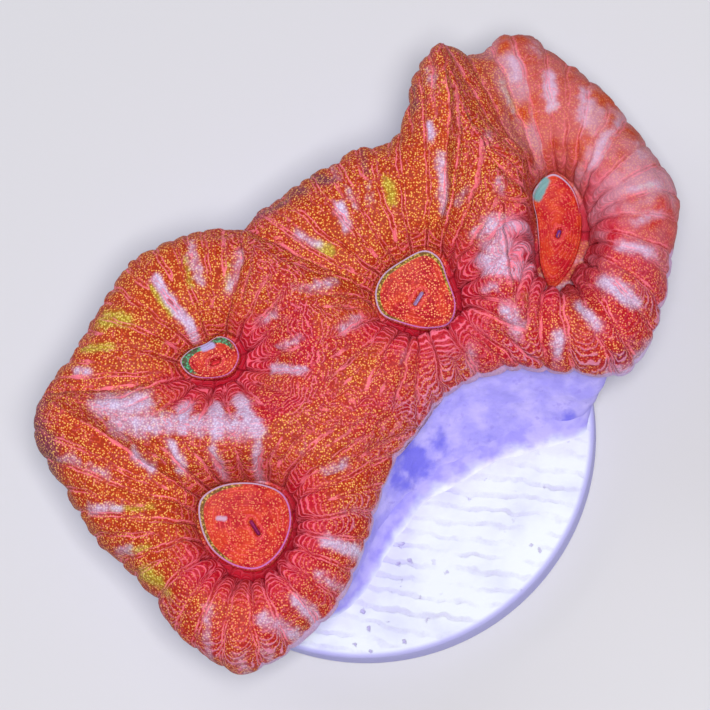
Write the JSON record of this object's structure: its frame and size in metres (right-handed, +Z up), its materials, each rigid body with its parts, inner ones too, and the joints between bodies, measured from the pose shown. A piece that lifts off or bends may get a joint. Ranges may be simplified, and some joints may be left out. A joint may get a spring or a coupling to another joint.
{
  "type": "brain coral colony on a disc",
  "caption": "Fleshy brain coral colony of joined, ribbed polyps, its bare skeleton foot glued to a round flat ceramic disc that stands on any level surface.",
  "frame": {"origin": "centre of the disc's flat underside", "axes": "+Z up out of the disc; +X to the right and +Y away from the viewer as the colony is seen from above, deepest polyp at +X +Y"},
  "size_m": [0.0421, 0.0425, 0.0149],
  "materials": {
    "coral": "wet, granular flesh",
    "glue": "smooth cured glue",
    "disc": "matt, faintly striped"
  },
  "bodies": {
    "root": {"coral": "coral", "glue": "glue", "disc": "disc"}
  },
  "joints": []
}
